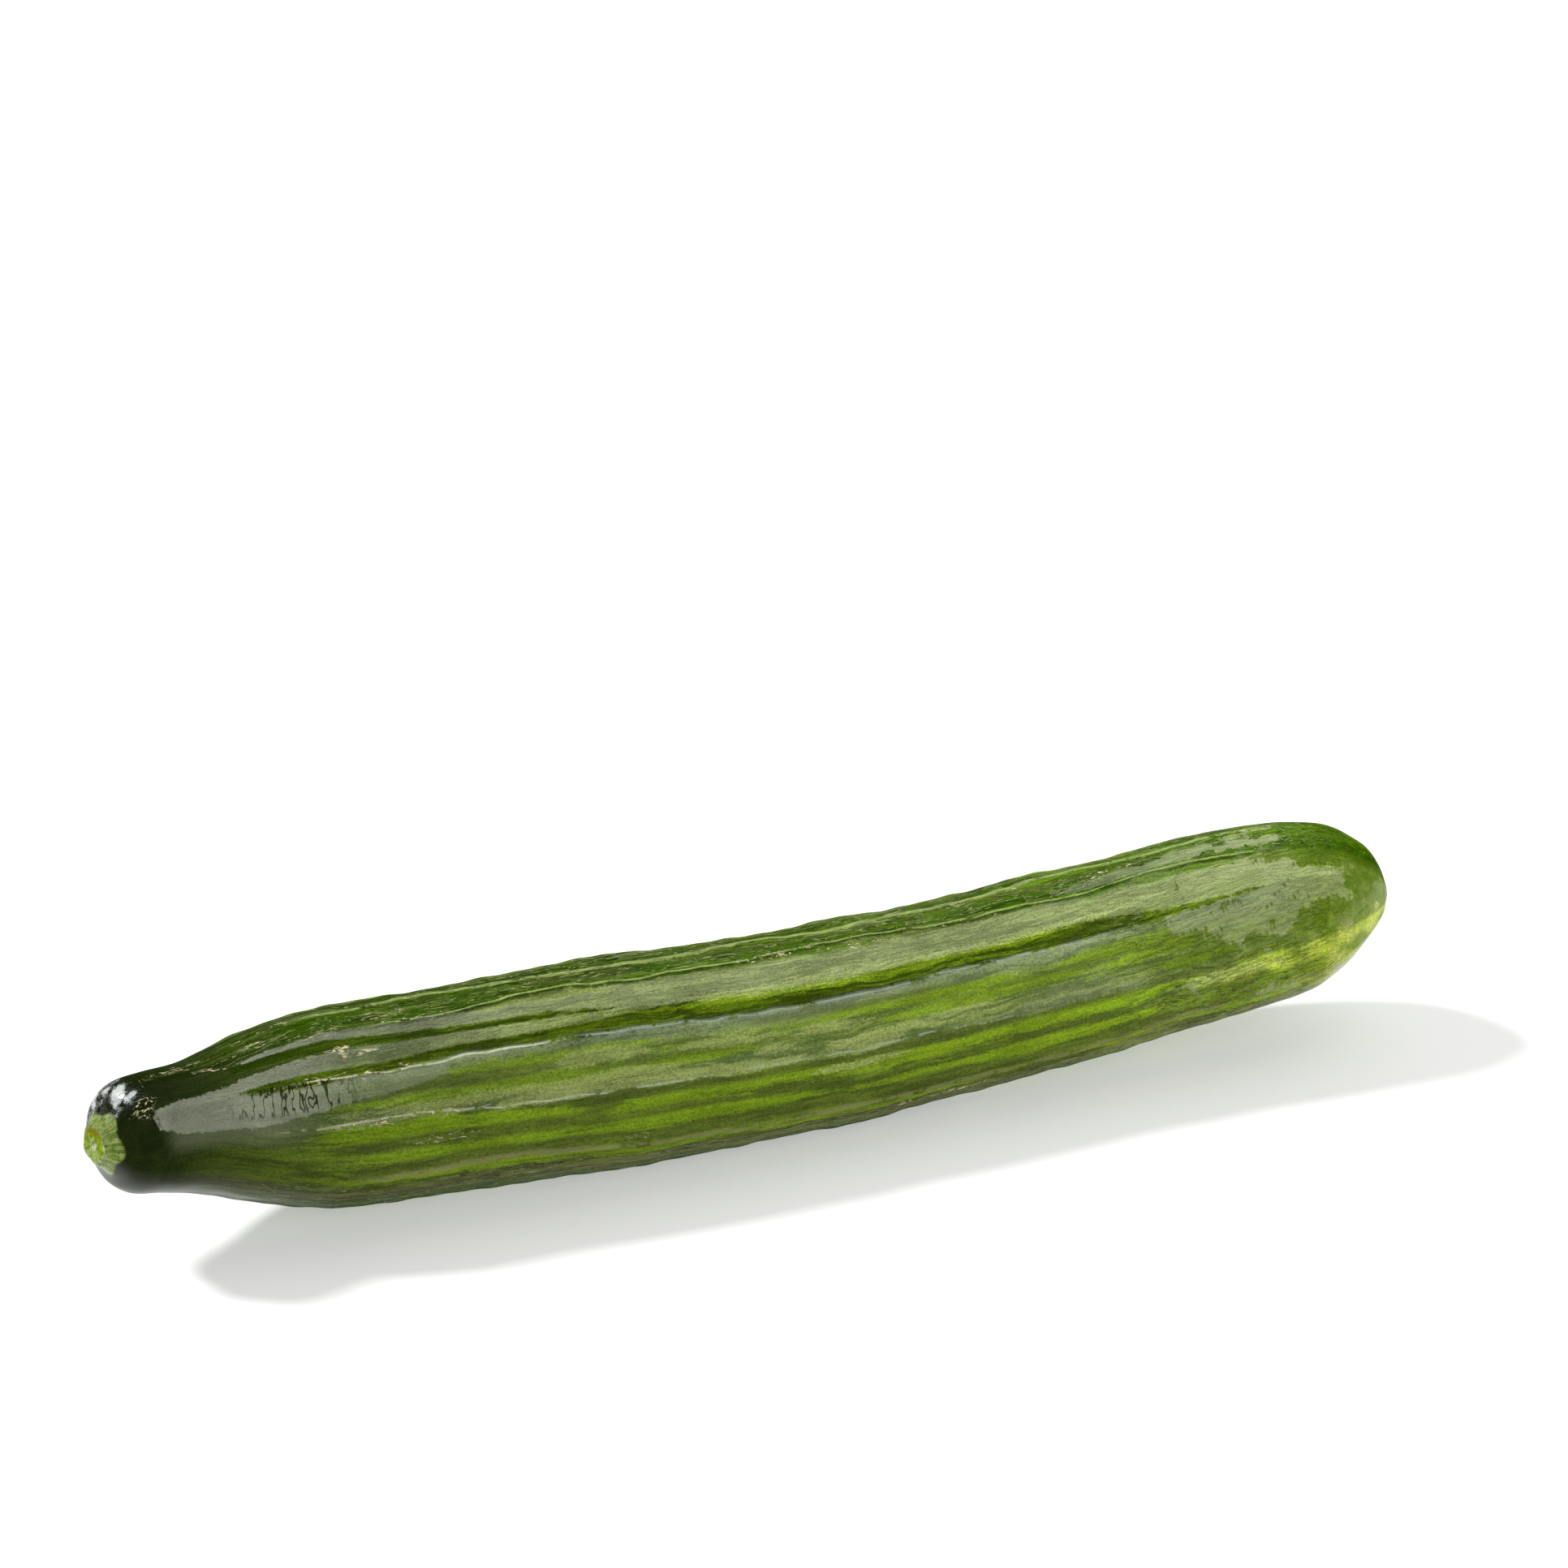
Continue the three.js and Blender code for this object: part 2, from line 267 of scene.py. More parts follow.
# The rows at turns 55 to 58 paint the bright lower edge of the sheen band; the rest are paler streaks of the
# skin.
PALE_STREAKS = [
    (48, 114, 22.5, 21.5, 1.1), (102, 125, 33.5, 33, 1.6), (104, 132, 22, 21.5, 1.4),
    (132, 157, 30.5, 30, 1.4), (160, 179, 28, 28.5, 1.3), (149, 161, 21, 21, 1.4),
    (126, 194, 58, 56, 1.3), (188, 252, 56.5, 57.5, 0.9),
    (164, 188, 3, 5, 1.2), (88, 114, 17, 17, 2.0), (110, 162, 16, 15, 1.5), (166, 188, 16, 16.5, 2.0),
    (258, 290, -1, -3, 1.6), (182, 214, 20, 21, 0.9), (250, 287, 22, 18, 0.5), (70, 118, 56, 55, 0.8),
]
LEAF_STREAKS = [
    (42, 64, 92, 91, 5.0), (66, 114, 82, 80, 1.1), (128, 140, 88, 88, 3.5), (58, 120, 100, 98, 1.4),
    (120, 190, 76.5, 77, 1.0), (186, 246, 80, 76, 1.1), (246, 302, 74, 74, 1.6), (140, 200, 85.5, 85, 1.3),
    (200, 250, 87, 84, 1.3), (297, 306, 34, 24, 0.9), (303, 313, 26, 17, 1.3), (309, 319, 52, 28, 6.0),
    (296, 318, 78, 70, 7.0), (268, 284, 97, 98, 2.0), (232, 250, 75, 73, 1.2),
]
# Painted white highlights on the shoulder beside the stub.
PAINTED_HIGHLIGHTS = [
    (2.6, 6.0, 84, 94, 2.2), (3.2, 5.0, 116, 112, 1.6), (3.4, 6.2, 71, 76, 0.8),
    (2.6, 4.2, 145, 135, 1.4),
]
# Dry flecks, partly painted glints.
FLECKS_AND_PAINTED_GLINTS = [
    (22, 44, 80, 82, 1.7), (44, 59, 75, 76, 1.6), (48, 64, 60, 60, 1.5), (61, 73, 87, 87, 2.6),
    (60, 82, 78, 76.5, 1.0), (152, 172, 78, 80, 1.9), (172, 193, 76, 74, 1.3), (196, 217, 74, 74.5, 1.0),
    (207, 217, 96, 96, 1.8), (221, 231, 99, 99, 1.4), (244, 255, 88, 88, 2.2), (257, 273, 89, 90, 1.8),
    (104, 113, 90, 88, 1.2), (32, 74, 41.5, 45, 0.9), (48, 86, 17, 17, 0.8), (4, 9, 50, 60, 2.4),
    (10, 28, 88, 97, 1.2), (34, 48, 98, 101, 1.4), (117, 132, -17, -18, 0.7), (69, 84, 2, 1, 0.9),
    (178, 224, -38, -40, 1.6), (306, 316, 8, 8, 2.0),
]
MARK_DEPTH = 3
BODY_RADIUS = 22.3
CUT_RADIUS = 4.6
STUB_EDGE = (6.4, 7.0)


def band(places, low, high):
    at = np.clip(along, places[0], places[-1])
    low, high = (through(np.array(places, float), np.array(edge, float), at)[0] for edge in (low, high))
    inside = np.radians(np.minimum(turn - low, high - turn)) * round_
    ends = np.minimum(along - places[0], places[-1] - along) / 2
    return np.clip(np.minimum(inside, ends), -MARK_DEPTH, MARK_DEPTH)


def tapered(start, end, first_turn, last_turn, half):
    u = np.clip((along - start) / (end - start), 0, 1)
    off = np.radians(np.abs(around(turn, first_turn + (last_turn - first_turn) * u))) * round_
    beyond = np.maximum(0, np.maximum(start - along, along - end)) / 3
    inside = half * np.sqrt(np.sin(np.pi * u)) - np.hypot(off, beyond)
    return np.clip(inside, -MARK_DEPTH, MARK_DEPTH)


spread = ease(along, 6, 16) * (1 - ease(along, 60, 100))
drum = round_ + (BODY_RADIUS - round_) * spread
straight = np.stack([along + 0 * turn, drum * cos[..., 0], drum * sin[..., 0]], -1)
lobed = 1 + STALK_ANGLE_DEPTH * np.cos(np.radians(STALK_ANGLES * turn))
skin_notes = {
    "crest_gap": gap,
    "veil": np.max([band(*row) for row in GLOSS_AND_PAINTED_SHEEN_BANDS], axis=0),
    "shade": np.max([band(*row) for row in SHADES], axis=0),
    "lime": np.max([tapered(*row) for row in LIME_STREAKS], axis=0),
    "dusk": np.max([tapered(*row) for row in DUSK_STREAKS], axis=0),
    "pale": np.max([tapered(*row) for row in PALE_STREAKS], axis=0),
    "leaf": np.max([tapered(*row) for row in LEAF_STREAKS], axis=0),
    "flecked": np.max([tapered(*row) for row in FLECKS_AND_PAINTED_GLINTS], axis=0),
    "gleam": np.max([tapered(*row) for row in PAINTED_HIGHLIGHTS], axis=0),
    "stalk": np.where(along < 6, 1 - ease(round_ / lobed, *STUB_EDGE), 0),
    "cut": np.where(along < 3, 1 - round_ / CUT_RADIUS, 0) + 0 * turn,
}
grid = fruit.data.attributes.new("straightened", "FLOAT_VECTOR", "POINT")
grid.data.foreach_set("vector", straight[ring, line].ravel())
for name, values in skin_notes.items():
    mark = fruit.data.attributes.new(name, "FLOAT", "POINT")
    mark.data.foreach_set("value", values[ring, line])

# Lanes count the bands from crest to crest, so their count is kept by the corners of the faces:
# at the seam on the far side the last lane ends where the first begins.
faces, corners = fruit.data.polygons, fruit.data.loops
first, count, corner = (np.empty(len(group), int) for group in (faces, faces, corners))
faces.foreach_get("loop_start", first)
faces.foreach_get("loop_total", count)
corners.foreach_get("vertex_index", corner)
corner_line, at_pole = line[corner], (ring[corner] == 0) | (ring[corner] == len(places) - 1)
reach = np.maximum.reduceat(corner_line, first) - np.minimum.reduceat(corner_line, first)
wraps = np.repeat(reach > turn.shape[1] // 2, count)
corner_lane = lane[ring[corner], corner_line] + len(CREST_TURN) * (wraps & (corner_line == 0))
kept = np.where(at_pole, 0.0, corner_lane)
others = np.maximum(np.add.reduceat((~at_pole).astype(float), first), 1)
pole_lane = np.add.reduceat(kept, first) / others
corner_lane = np.where(at_pole, np.repeat(pole_lane, count), corner_lane)
mark = fruit.data.attributes.new("lane", "FLOAT", "CORNER")
mark.data.foreach_set("value", corner_lane)


class Wire:
    """One output in a shader, on which plain sums can be written."""

    def __init__(self, tree, socket):
        self.tree, self.socket = tree, socket

    def node(self, kind, settings=None, sockets=None, out=0):
        made = self.tree.nodes.new(kind)
        for name, value in (settings or {}).items():
            if name == "stops":
                ramp = made.color_ramp
                while len(ramp.elements) < len(value):
                    ramp.elements.new(1)
                for stop, (at, colour) in zip(ramp.elements, value):
                    stop.position, stop.color = at, (*colour, 1)
            else:
                setattr(made, name, value)
        for key, value in (sockets or {}).items():
            if isinstance(value, Wire):
                self.tree.links.new(value.socket, made.inputs[key])
            else:
                made.inputs[key].default_value = value
        return Wire(self.tree, made.outputs[out])

    def sum(self, operation, a, b=0.0, clamp=False):
        return self.node("ShaderNodeMath", {"operation": operation, "use_clamp": clamp}, {0: a, 1: b})

    def __add__(self, other):
        return self.sum("ADD", self, other)

    __radd__ = __add__

    def __sub__(self, other):
        return self.sum("SUBTRACT", self, other)

    def __rsub__(self, other):
        return self.sum("SUBTRACT", other, self)

    def __mul__(self, other):
        return self.sum("MULTIPLY", self, other)

    __rmul__ = __mul__

    def abs(self):
        return self.sum("ABSOLUTE", self)

    def clamp(self):
        return self.sum("ADD", self, 0.0, True)

    def ease(self, low, high, start=0.0, end=1.0):
        settings = {"interpolation_type": "SMOOTHSTEP"}
        return self.node("ShaderNodeMapRange", settings, {0: self, 1: low, 2: high, 3: start, 4: end})

    def blend(self, a, b):
        a = a if isinstance(a, Wire) else (*a, 1)
        b = b if isinstance(b, Wire) else (*b, 1)
        return self.node("ShaderNodeMix", {"data_type": "RGBA"}, {0: self, 6: a, 7: b}, 2)

    def scaled(self, x, y, z):
        return self.node("ShaderNodeVectorMath", {"operation": "MULTIPLY"}, {0: self, 1: (x, y, z)})

    def moved(self, other):
        return self.node("ShaderNodeVectorMath", {"operation": "ADD"}, {0: self, 1: other})

    def between(self, start, full, fade, end):
        return self.ease(start, full) * self.ease(fade, end, 1.0, 0.0)

    def brightened(self, gain):
        return self.node("ShaderNodeVectorMath", {"operation": "SCALE"}, {0: self, 3: gain})

    def noise(self, detail=3.0, rough=0.55, out=0, scale=1.0, warp=0.0):
        sockets = {"Vector": self, "Scale": scale, "Detail": detail, "Roughness": rough, "Distortion": warp}
        return self.node("ShaderNodeTexNoise", {}, sockets, out)


def paint(red, green, blue):
    shares = (red / 255, green / 255, blue / 255)
    return tuple(((v + 0.055) / 1.055) ** 2.4 if v > 0.04 else v / 12.92 for v in shares)


# Tones of the skin. BAND_TONES holds the dull and the clear tone at each lane: lane 0 is the
# lowest crest in front and lane 4 the one along the top.
LIME = paint(122, 152, 26)
DUSK = paint(80, 92, 36)
PALE = paint(156, 168, 98)
LEAF = paint(62, 96, 0)
DARK = paint(52, 72, 6)
NECK = paint(18, 28, 4)
BAND_TONES = [
    (-0.60, (78, 90, 30), (110, 124, 44)), (-0.45, (84, 88, 48), (112, 114, 66)),
    (-0.25, (76, 84, 34), (106, 114, 50)), (-0.05, (80, 98, 22), (112, 132, 24)),
    (0.05, (78, 94, 32), (102, 122, 40)), (0.90, (82, 100, 34), (112, 140, 34)),
    (1.05, (100, 118, 64), (132, 148, 84)), (1.68, (100, 120, 52), (124, 150, 56)),
    # The grey tones at lanes 1.82 and 1.97, just below the third crest, are a painted sheen.
    (1.82, (112, 128, 84), (134, 150, 96)), (1.97, (116, 132, 90), (138, 154, 106)),
    (2.03, (90, 110, 30), (112, 138, 32)), (2.45, (108, 122, 60), (132, 148, 82)),
    (2.90, (106, 120, 58), (126, 142, 76)), (3.02, (44, 68, 2), (66, 100, 2)),
    (3.30, (60, 84, 14), (92, 114, 40)), (3.90, (56, 82, 8), (80, 112, 12)),
    (4.15, (52, 76, 4), (74, 104, 10)), (4.90, (60, 80, 20), (92, 108, 44)),
]
FAR_TONES = [(0.0, DARK), (0.14, LEAF), (0.34, DUSK), (0.52, LIME), (0.70, DUSK), (0.86, LIME), (1.0, DARK)]

skin = bpy.data.materials.new("cucumber_skin")
skin.use_nodes = True
tree = skin.node_tree
tree.nodes.clear()
wire = Wire(tree, None)


def note(name, out=2):
    return wire.node("ShaderNodeAttribute", {"attribute_name": name}, {}, out)


# The grain of the skin: broad sway and drift, streaks and fibres along the fruit, patches, an
# upright fringe, and fine grain.
grid = note("straightened", 1)
lane, gap = note("lane"), note("crest_gap")
stub, cut = note("stalk"), note("cut")
s = wire.node("ShaderNodeSeparateXYZ", {}, {0: grid}, 0)
sway = grid.scaled(0.05, 0.09, 0.09).noise(detail=2, out=1)
swayed = grid.moved(sway.moved((-0.5, -0.5, -0.5)).scaled(0, 5, 5))
drift = grid.scaled(0.040, 0.16, 0.16).noise(detail=3) - 0.5
fray = grid.scaled(0.30, 0.55, 0.55).noise(detail=4, rough=0.6) - 0.5
fringe = grid.scaled(1.1, 0.22, 0.22).noise(detail=3, rough=0.6) - 0.5
islands = grid.scaled(0.09, 0.13, 0.13).noise(detail=4, rough=0.6) - 0.5
streak = swayed.scaled(0.030, 0.50, 0.50).noise(detail=4, rough=0.6) - 0.5
streak = streak * s.ease(235, 265, 1.0, 0.5) + islands * s.ease(235, 265, 0.0, 0.8)
fibre = swayed.scaled(0.10, 1.6, 1.6).noise(detail=3, rough=0.6) - 0.5
patch = grid.scaled(0.07, 0.12, 0.12).noise(detail=3, rough=0.6) - 0.5
grain = grid.scaled(1.6, 2.4, 2.4).noise(detail=2, rough=0.7) - 0.5

frayed = lane + 0.12 * drift + 0.10 * fray + 0.08 * fringe
fibre = fibre * lane.ease(1.9, 3.0, 0.35, 1.0) * s.ease(235, 265, 1.0, 0.4)
weave = (1.3 * streak + 1.0 * fibre + 0.35 * patch).ease(-0.13, 0.13)
weave = weave * s.ease(20, 60, 0.45, 1.0) + s.ease(20, 60, 0.2, 0.0)
along_lanes = (frayed + 1) * (1 / 6)
dull = [((at + 1) / 6, paint(*tone)) for at, tone, _ in BAND_TONES]
clear = [((at + 1) / 6, paint(*tone)) for at, _, tone in BAND_TONES]
ramps = [wire.node("ShaderNodeValToRGB", {"stops": stops}, {0: along_lanes}) for stops in (dull, clear)]
far = wire.node("ShaderNodeValToRGB", {"stops": FAR_TONES}, {0: wire.sum("FRACT", frayed)})
tone = frayed.between(-0.8, -0.6, 4.75, 4.95).blend(far, weave.blend(*ramps))

rag = 1.8 * fray + 1.2 * fringe
brush = 1.6 * fray + 4.0 * fibre + 3.0 * streak + 1.2 * grain
shade = (note("shade") + rag).ease(-0.35, 0.25)
tone = shade.blend(tone, weave.blend(paint(54, 70, 6), paint(84, 108, 12)))
tone = ((note("lime") + brush).ease(-0.6, 0.8) * 0.7).blend(tone, LIME)
tone = ((note("dusk") + brush).ease(-0.5, 0.7) * 0.65).blend(tone, DUSK)
tone = ((note("pale") + brush).ease(-0.5, 0.6) * 0.65).blend(tone, PALE)
leaf = (note("leaf") + brush + 5.0 * islands).ease(-0.4, 0.5) * 0.75
tone = leaf.blend(tone, LEAF)

# The blossom end: cloudy, yellow below and leaf green above. The neck is nearly black green.
nose = s.ease(286, 306) * frayed.ease(-0.9, -0.5)
clouds = (islands + 0.5 * fray).ease(-0.10, 0.08)
nose_low = clouds.blend(paint(128, 150, 38), paint(172, 180, 84))
nose_mid = clouds.blend(paint(104, 134, 18), paint(156, 172, 92))
nose_top = clouds.blend(paint(50, 80, 0), paint(74, 104, 6))
nose_tone = frayed.ease(0.7, 1.5).blend(nose_low, frayed.ease(2.3, 2.7).blend(nose_mid, nose_top))
yellow = s.ease(262, 290) * frayed.between(0.4, 0.62, 0.92, 1.08) * patch.ease(-0.2, 0.05)
tone = (nose * 0.85).blend(tone, nose_tone)
tone = (yellow * 0.7).blend(tone, paint(178, 192, 66))
deep = s.ease(110, 30) * lane.between(2.15, 2.35, 3.0, 3.3)
tone = (deep * 0.75).blend(tone, paint(46, 70, 2))
tip = s.ease(300, 318) * frayed.ease(-0.6, -1.2) + s.ease(300, 318) * frayed.ease(4.2, 4.9)
tone = tip.clamp().blend(tone, clouds.blend(paint(84, 112, 20), paint(112, 138, 44)))

gain = s.ease(0, 50, 0.34, 0.70) + s.ease(44, 62, 0.0, 0.22) + s.ease(60, 180, 0.0, 0.26)
gain = (gain + s.ease(200, 255, 0.0, 0.36)) * frayed.ease(2.6, 3.3, 1.0, 0.9)
gain = gain * (1 + 0.8 * streak + 0.8 * fibre + 0.6 * patch) * (1 + 1.8 * grain)
tone = tone.brightened(gain)
tone = (s.ease(2, 34, 1.0, 0.0) * 0.72).blend(tone, NECK)
tone = (s.ease(9, 7, 0.0, 1.0) * 0.6 * lane.ease(0.6, 1.0)).blend(tone, paint(20, 28, 8))
# A painted grey sheen fading out below the shiny band on the neck.
painted_haze = s.between(8, 13, 34, 52) * frayed.between(0.5, 1.1, 1.5, 1.8)
tone = (painted_haze * 0.5).blend(tone, paint(122, 128, 100))

# Fine raised threads between the crests, with painted highlights along their ridges and painted shadow
# in their furrows; broken pale lines on the crests, most of them painted highlights; and painted shadow
# in the creases beside them.
broken = fray + 0.8 * patch + 0.4 * fringe
thread = swayed.scaled(0.075, 1.0, 1.0).noise(detail=2, rough=0.5) - 0.5
raised = frayed.ease(2.95, 3.1) + frayed.ease(0.0, -0.3, 0.0, 0.8) + s.ease(236, 256) * 0.6
furrow_and_shadow = (thread - 0.045).abs().ease(0.012, 0.034, 1.0, 0.0) * raised.clamp() * s.between(20, 50, 300, 315)
ridge_and_highlight = thread.abs().ease(0.010, 0.030, 1.0, 0.0) * raised.clamp() * s.between(20, 50, 300, 315)
tone = (furrow_and_shadow * 0.62).blend(tone, paint(28, 52, 0))
tone = (ridge_and_highlight * 0.6).blend(tone, paint(162, 184, 96))
thin = (gap + 0.7 * fray).ease(0.16, 0.38, 1.0, 0.0)
wide = (gap + 1.0 * fray).ease(0.5, 1.3, 1.0, 0.0)


def on_crest(k):
    return lane.between(k - 0.3, k - 0.15, k + 0.15, k + 0.3)


# The bluish-white and creamy lines on the crests are painted highlights; the pale lines are partly paler
# skin, partly painted highlights.
crest_highlight = (thin + 0.3 * wide).clamp() * on_crest(2) * s.between(66, 76, 236, 252) * broken.ease(-0.12, 0.0)
crest_highlight = crest_highlight + thin * on_crest(1) * s.between(44, 56, 205, 228) * broken.ease(-0.04, 0.06)
pale_line_and_highlight = thin * on_crest(3) * s.between(58, 72, 284, 298) * broken.ease(-0.18, -0.06)
pale_line_and_highlight = pale_line_and_highlight + wide * on_crest(4) * s.between(40, 60, 288, 300) * broken.ease(-0.2, -0.05)
tan_line = wide * on_crest(0) * s.between(52, 66, 296, 312) * broken.ease(-0.16, -0.02)
# Painted shadow in thin dark lines along the crests: above the third crest and below the fourth.
from_crest = gap + 0.6 * fray
above = from_crest.between(0.4, 0.55, 0.8, 1.1) * lane.between(1.98, 2.0, 2.15, 2.2)
below = from_crest.between(0.5, 0.7, 1.1, 1.5) * lane.between(2.8, 2.85, 3.0, 3.02)
crease_and_shadow = above * s.between(60, 90, 250, 280) + below * s.between(60, 90, 280, 300)
tone = (crease_and_shadow * 0.6 * broken.ease(-0.1, 0.02)).blend(tone, paint(34, 50, 4))
tone = (crest_highlight * 0.7).blend(tone, paint(170, 184, 164))
cream_highlight = (gap + 0.5 * fray).ease(0.14, 0.34, 1.0, 0.0) * on_crest(2) * s.between(36, 46, 94, 110)
faint_highlight = (gap + 0.9 * fray).ease(0.14, 0.4, 1.0, 0.0) * on_crest(1) * s.between(34, 44, 90, 120)
cream_highlight = cream_highlight + 0.5 * faint_highlight
tone = (cream_highlight * broken.ease(-0.16, -0.06) * 0.8).blend(tone, paint(222, 220, 186))
tone = (pale_line_and_highlight * 0.75).blend(tone, paint(172, 190, 112))
tone = (tan_line * 0.65).blend(tone, paint(142, 142, 92))

# Dry flecks with painted glints among them, pale strokes on the neck that are painted glints, and the
# cracks in the wax under the third crest, with painted shadow in them.
speck = grid.scaled(0.7, 1.7, 1.7).noise(detail=3, rough=0.7)
sparse = grid.scaled(0.16, 0.3, 0.3).noise(detail=2) - 0.5
strokes = (grid.scaled(0.09, 0.6, 0.6).noise(detail=1, rough=0.5) - 0.5).abs().ease(0.010, 0.030, 1.0, 0.0)
painted_glint_strokes = strokes * s.ease(110, 90) * (speck + 0.6 * fray).ease(0.42, 0.5)
fleck_and_painted_glint = (speck + 0.5 * sparse).ease(0.60, 0.64) * s.ease(90, 120, 0.4, 1.0) + painted_glint_strokes
fleck_and_painted_glint = fleck_and_painted_glint.clamp() * (note("flecked") + 2.0 * rag).ease(-0.5, 0.3)
tone = (fleck_and_painted_glint * 0.95).blend(tone, paint(228, 222, 172))
crackle = grid.scaled(0.36, 0.10, 0.10).noise(detail=2, rough=0.6) - 0.5
crack_and_shadow = crackle.abs().ease(0.008, 0.026, 1.0, 0.0) * s.between(22, 32, 50, 60)
crack_and_shadow = crack_and_shadow * lane.between(1.3, 1.5, 2.0, 2.05)
tone = (crack_and_shadow * 0.8).blend(tone, paint(24, 34, 12))

# The stub: ribbed outside, with a wet green ring around a pale pith on its cut.
pulp = grid.scaled(0.8, 0.8, 0.8).noise(detail=3, rough=0.7)
spoke = wire.node("ShaderNodeVectorMath", {"operation": "NORMALIZE"}, {0: grid.scaled(0, 1, 1)})
ribs = spoke.scaled(7, 7, 7).noise(detail=4, rough=0.7)
stub_tone = (ribs + 0.8 * (pulp - 0.5)).ease(0.36, 0.66).blend(paint(88, 116, 30), paint(158, 174, 104))
ring = cut.between(0.10, 0.25, 0.60, 0.80)
pith = pulp.ease(0.42, 0.54).blend(paint(112, 140, 40), paint(190, 198, 156))
cut_tone = ring.blend(pith, pulp.ease(0.4, 0.6).blend(paint(104, 132, 4), paint(148, 172, 30)))
high_up = wire.node("ShaderNodeSeparateXYZ", {}, {0: grid}, 2)
cut_tone = (high_up.ease(1.8, 2.8) * pulp.ease(0.4, 0.5) * 0.6).blend(cut_tone, paint(128, 92, 22))
tone = stub.blend(tone, cut.ease(0.05, 0.12).blend(stub_tone, cut_tone))
# A painted white highlight on the shoulder beside the stub.
gleam = (note("gleam") + 5.0 * fray + 3.0 * grain).ease(-0.6, 1.2)
tone = (gleam * 0.8).blend(tone, paint(228, 234, 232))

# The wax: a glossy coat, and a painted sheen in the base colour that stands in for the soft lamps'
# reflection in it. Both are ragged, grassy along the lower edge and holed near the blossom end.
grassy = 7.0 * fringe * lane.ease(2.8, 2.45) * s.ease(90, 120)
holed = s.ease(245, 262) * (22.0 * islands - 0.6)
ragged_gloss_and_painted_sheen = (note("veil") + rag + grassy + holed).ease(-0.25, 0.2)
veil = ragged_gloss_and_painted_sheen * (1 - shade) * (1 - crack_and_shadow) * (1 - leaf) * (1 + 1.2 * patch) * (1 + 1.2 * grain)
painted = 0.16 + s.ease(66, 30, 0.0, 0.55) + s.ease(240, 275, 0.0, 0.45)
bare = s.ease(246, 262) * frayed.between(0.9, 1.2, 2.7, 2.95) * (1 - shade) * (1 - ragged_gloss_and_painted_sheen)
tone = (bare * 0.6).blend(tone, paint(100, 128, 22))
painted_sheen_tone = s.ease(246, 275).blend(paint(142, 156, 94), paint(166, 182, 112))
painted_sheen_tone = s.ease(60, 130).blend(paint(160, 164, 142), painted_sheen_tone)
# The sheen's pale tone is painted into the base colour, most strongly on the neck and the blossom end.
tone = (veil * painted).clamp().blend(tone, painted_sheen_tone)
shoulder = s.ease(5, 8.5, 1.0, 0.0) * lane.ease(2.3, 2.8) * (1 - stub)
shoulder = shoulder * (fray + grain + 2.0 * fibre).ease(-0.16, 0.02)
rim = frayed.ease(0.2, -0.9) * (s.ease(60, 34, 0.15, 0.8) + s.ease(270, 300, 0.0, 0.5))
rim = rim + 0.3 * s.ease(300, 314) * frayed.ease(2.6, 1.8)
waxy = 0.03 + veil * s.ease(20, 70, 0.34, 0.54) + 0.3 * crest_highlight + 0.8 * shoulder + 0.3 * ridge_and_highlight
waxy = (waxy + frayed.ease(5.0, 6.0, 0.0, 0.2) + rim).clamp() * (1 - fleck_and_painted_glint)

ripple = swayed.scaled(0.10, 1.1, 1.1).noise(detail=4, rough=0.6)
dimple = grid.scaled(0.12, 0.2, 0.2).noise(detail=3, rough=0.5)
height = 0.9 * dimple + 0.6 * ripple + 0.4 * fibre + 0.3 * grain + 0.1 * veil
height = height + 0.5 * fleck_and_painted_glint + 0.4 * ridge_and_highlight - 0.5 * furrow_and_shadow - 0.4 * crease_and_shadow - 0.6 * crack_and_shadow
bump = wire.node("ShaderNodeBump", {}, {"Strength": 0.9, "Distance": 0.0016, "Height": height})
shader = wire.node("ShaderNodeBsdfPrincipled", {}, {
    "Base Color": tone, "Roughness": 0.5 + 0.2 * grain, "Normal": bump,
    "IOR": 1.45, "Specular IOR Level": 0.0, "Coat Weight": waxy, "Coat Roughness": 0.26, "Coat IOR": 1.65,
})
made = tree.nodes.new("ShaderNodeOutputMaterial")
tree.links.new(shader.socket, made.inputs["Surface"])
fruit.data.materials.append(skin)
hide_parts("cucumber")
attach(fruit, "root")

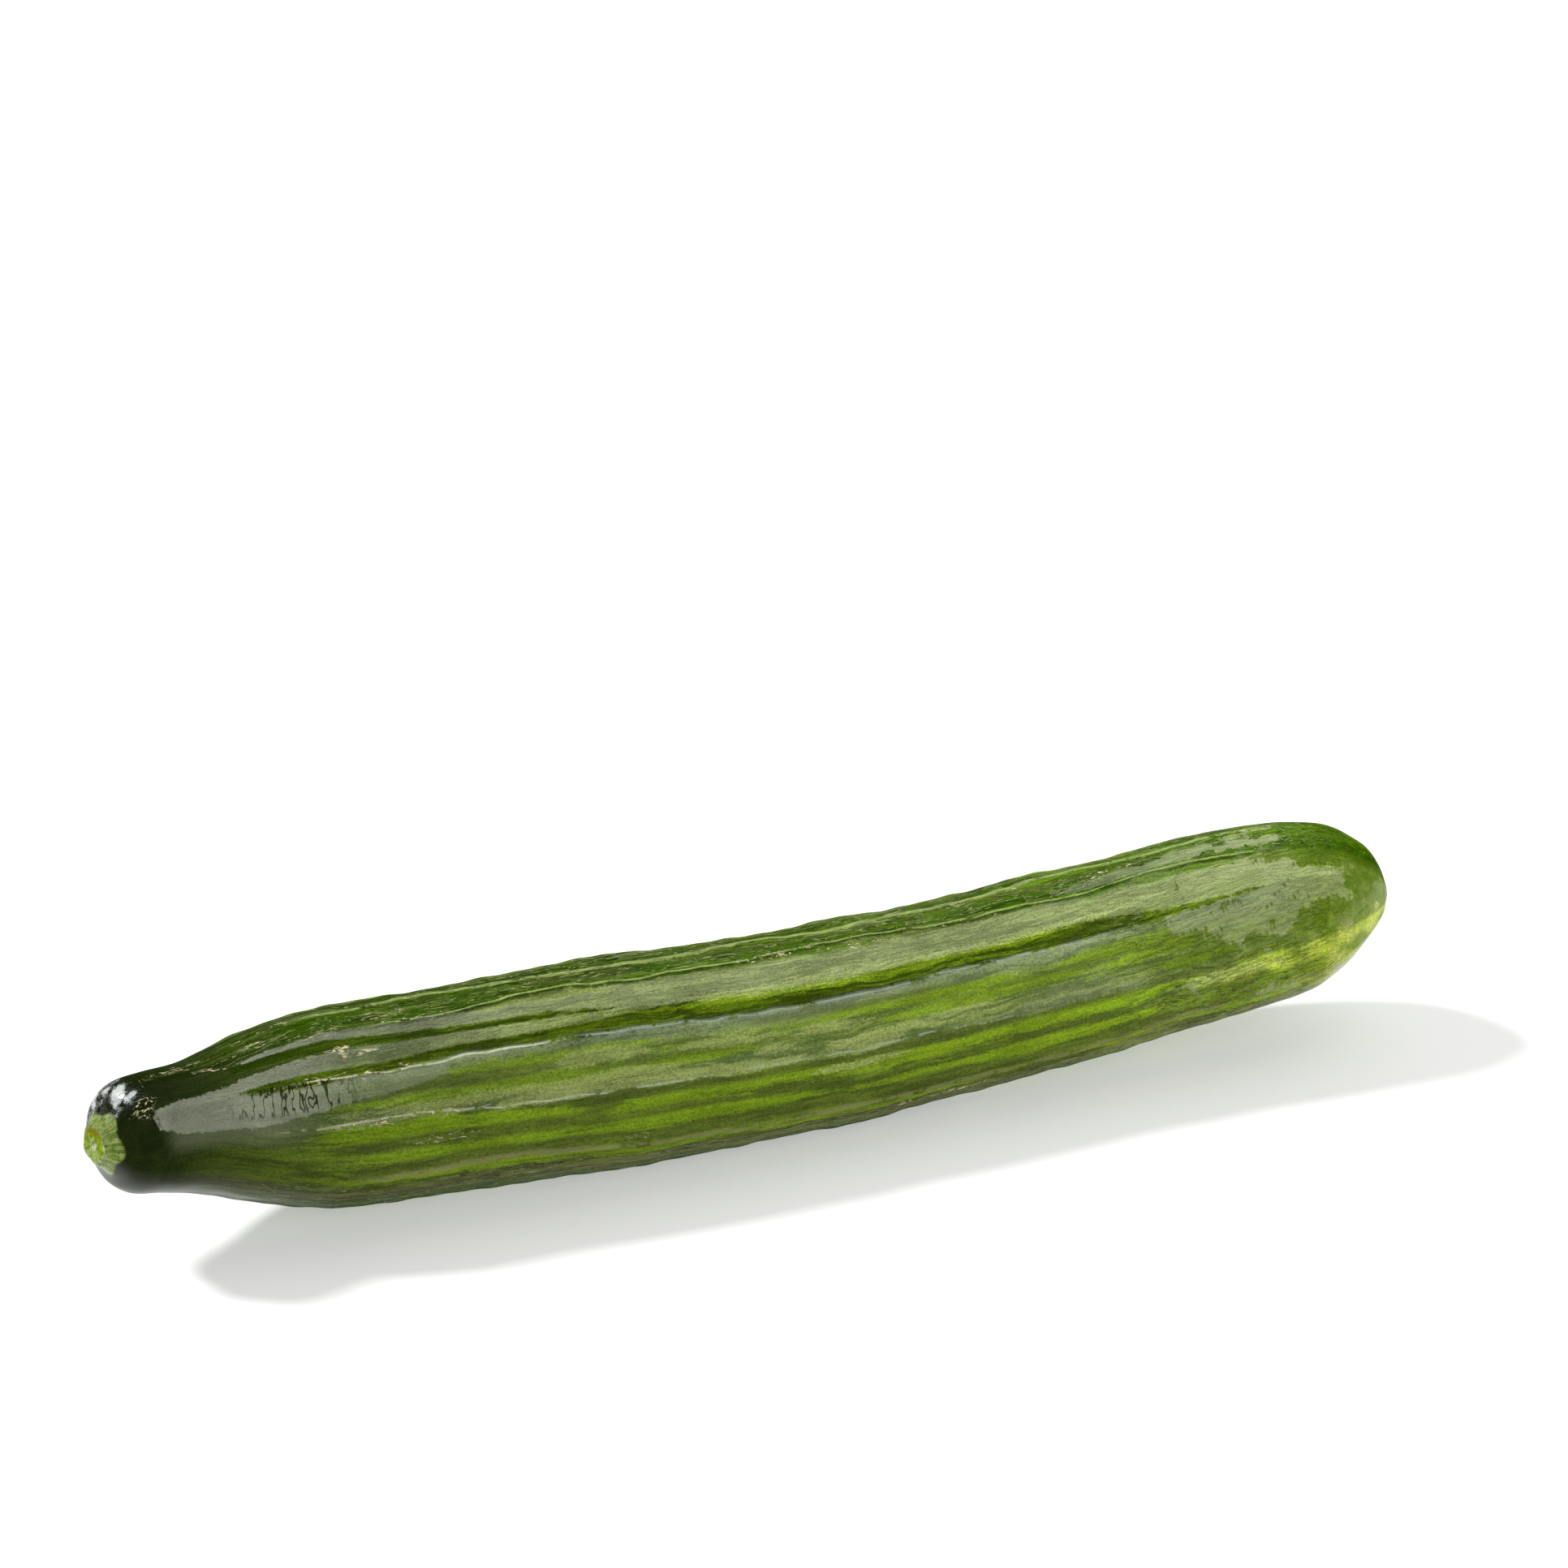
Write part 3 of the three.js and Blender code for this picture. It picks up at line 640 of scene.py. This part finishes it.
# The table. A plain white sheet that runs out of the picture on every side.
bpy.ops.object.select_all(action="DESELECT")
bpy.ops.mesh.primitive_plane_add(size=6, location=(0, 0, 0))
table = bpy.context.object
table.name = table.data.name = "table"
paper = bpy.data.materials.new("white_paper")
paper.use_nodes = True
sheet = paper.node_tree.nodes["Principled BSDF"].inputs
sheet["Base Color"].default_value = (0.80, 0.80, 0.80, 1)
sheet["Roughness"].default_value = 1.0
sheet["Specular IOR Level"].default_value = 0.0
sheet["Emission Color"].default_value = (1.0, 1.0, 1.0, 1)
sheet["Emission Strength"].default_value = 0.25
table.data.materials.append(paper)

# The studio. A far lamp behind the fruit on the left throws the shadow. A wide soft lamp above
# the far side and a lower one in front fill the waxy bands, and the white room does the rest.
KEY_FROM = (-0.524, 0.474, 0.708)
KEY_STRENGTH = 2.9
SOFT_LAMPS = [
    ("high_lamp", (0.38, 0.27, 0.78), (1.05, 1.05), 4.2),
    ("front_lamp", (0.02, -0.85, 0.62), (1.20, 0.60), 2.4),
]

bpy.ops.object.light_add(type="SUN", location=(0, 0, 2))
key = bpy.context.object
key.name = "key_lamp"
key.rotation_euler = Vector(KEY_FROM).to_track_quat("Z", "Y").to_euler()
key.data.energy = KEY_STRENGTH
key.data.angle = math.radians(9)
for name, spot, size, power in SOFT_LAMPS:
    bpy.ops.object.light_add(type="AREA", location=spot)
    lamp = bpy.context.object
    lamp.name = name
    lamp.rotation_euler = Vector(spot).to_track_quat("Z", "Y").to_euler()
    lamp.data.shape = "RECTANGLE"
    lamp.data.size, lamp.data.size_y = size
    lamp.data.energy = power
    lamp.data.use_shadow = False

room = bpy.data.worlds.new("white_room")
room.use_nodes = True
bpy.context.scene.world = room
sky = room.node_tree
back = sky.nodes["Background"]
back.inputs["Color"].default_value = (1, 1, 1, 1)
seen = sky.nodes.new("ShaderNodeLightPath")
much = sky.nodes.new("ShaderNodeMapRange")
much.inputs["To Min"].default_value = 0.30
much.inputs["To Max"].default_value = 1.2
sky.links.new(seen.outputs["Is Camera Ray"], much.inputs["Value"])
sky.links.new(much.outputs["Result"], back.inputs["Strength"])
bpy.context.scene.view_settings.view_transform = "Standard"
